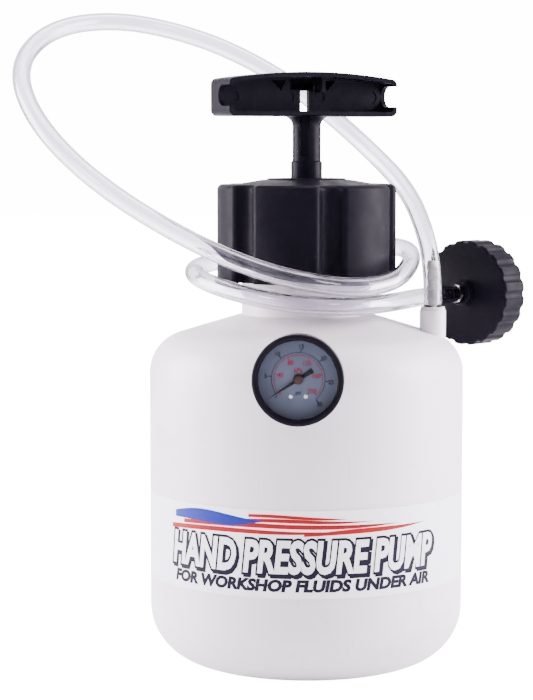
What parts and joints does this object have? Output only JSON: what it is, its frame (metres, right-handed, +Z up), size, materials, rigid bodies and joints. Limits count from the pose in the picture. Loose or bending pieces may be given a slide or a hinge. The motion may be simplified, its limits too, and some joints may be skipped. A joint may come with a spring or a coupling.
{
  "type": "hand pump pressure tank",
  "caption": "Hand-pumped plastic tank with a screw-on T-handle pump, a pressure gauge, a looped clear hose and a threaded reservoir adapter.",
  "frame": {"origin": "centre of the tank's base, on the floor", "axes": "+Z up the tank's axis, -Y out of the gauge's dial, +X towards the hose outlet"},
  "size_m": [0.2682, 0.1961, 0.342],
  "materials": {
    "tank": "translucent off-white polyethylene",
    "label": "printed vinyl wrap",
    "black_plastic": "satin moulded nylon",
    "gauge_plastic": "glossy black",
    "lens": "clear polycarbonate",
    "dial": "printed blue-grey dial",
    "needle": "black paint",
    "screw": "plain zinc",
    "brass": "turned brass",
    "rubber": "nitrile rubber",
    "barrel": "natural polypropylene",
    "pale_tube": "natural polyethylene tube",
    "hose": "clear flexible vinyl"
  },
  "bodies": {
    "tank_body": {"tank": "tank", "tank_label": "label", "gauge_case": "gauge_plastic", "gauge_bezel": "gauge_plastic", "gauge_lens": "lens", "gauge_dial": "dial", "dial_screws": "screw", "movement_frame": "brass", "bourdon_tube": "brass", "gauge_stem": "brass", "gauge_seal": "rubber", "gauge_nut": "brass", "outlet_fitting": "barrel", "outlet_seal": "barrel", "outlet_nut": "black_plastic", "dip_tube": "pale_tube", "hose": "hose", "adapter_fitting": "black_plastic", "adapter_nut": "black_plastic"},
    "pump_head": {"neck_gasket": "rubber", "pump_barrel": "barrel", "rod_guide": "black_plastic", "rod_bush": "barrel", "barrel_foot": "barrel", "valve_keeper": "barrel"},
    "collar": {"pump_collar": "black_plastic"},
    "piston_seal": {"piston_cup": "rubber"},
    "plunger": {"plunger_rod": "black_plastic", "t_handle": "black_plastic", "handle_pin": "screw", "piston": "black_plastic", "cup_washer": "screw", "piston_screw": "screw"},
    "check_valve": {"check_valve_disc": "rubber"},
    "pointer": {"gauge_needle": "needle", "needle_arbor": "brass"},
    "adapter": {"adapter_cap": "black_plastic", "adapter_gasket": "rubber"}
  },
  "joints": [
    {"name": "pump_lift", "type": "slide", "parent": "tank_body", "child": "pump_head", "axis": [0, 0, 1], "range_m": [0, 0.008]},
    {"name": "collar_turn", "type": "hinge", "parent": "pump_head", "child": "collar", "pos_m": [0, 0, 0.225], "axis": [0, 0, 1], "range_deg": [0, 720]},
    {"name": "pump_stroke", "type": "slide", "parent": "pump_head", "child": "piston_seal", "axis": [0, 0, 1], "range_m": [-0.0215, 0.099]},
    {"name": "handle_turn", "type": "hinge", "parent": "piston_seal", "child": "plunger", "pos_m": [0, 0, 0.29], "axis": [0, 0, 1], "continuous": true},
    {"name": "check_valve_lift", "type": "slide", "parent": "pump_head", "child": "check_valve", "axis": [0, 0, -1], "range_m": [0, 0.002]},
    {"name": "gauge_reading", "type": "hinge", "parent": "tank_body", "child": "pointer", "pos_m": [0, -0.105, 0.159], "axis": [0, 1, 0], "range_deg": [0, 270]},
    {"name": "adapter_swivel", "type": "hinge", "parent": "tank_body", "child": "adapter", "pos_m": [0.0838, 0.042, 0.1906], "axis": [-0.6428, -0.766, 0], "continuous": true}
  ],
  "couplings": [
    {"joint": "pump_lift", "follows": "collar_turn", "m_per_rad": 0.00063662}
  ]
}
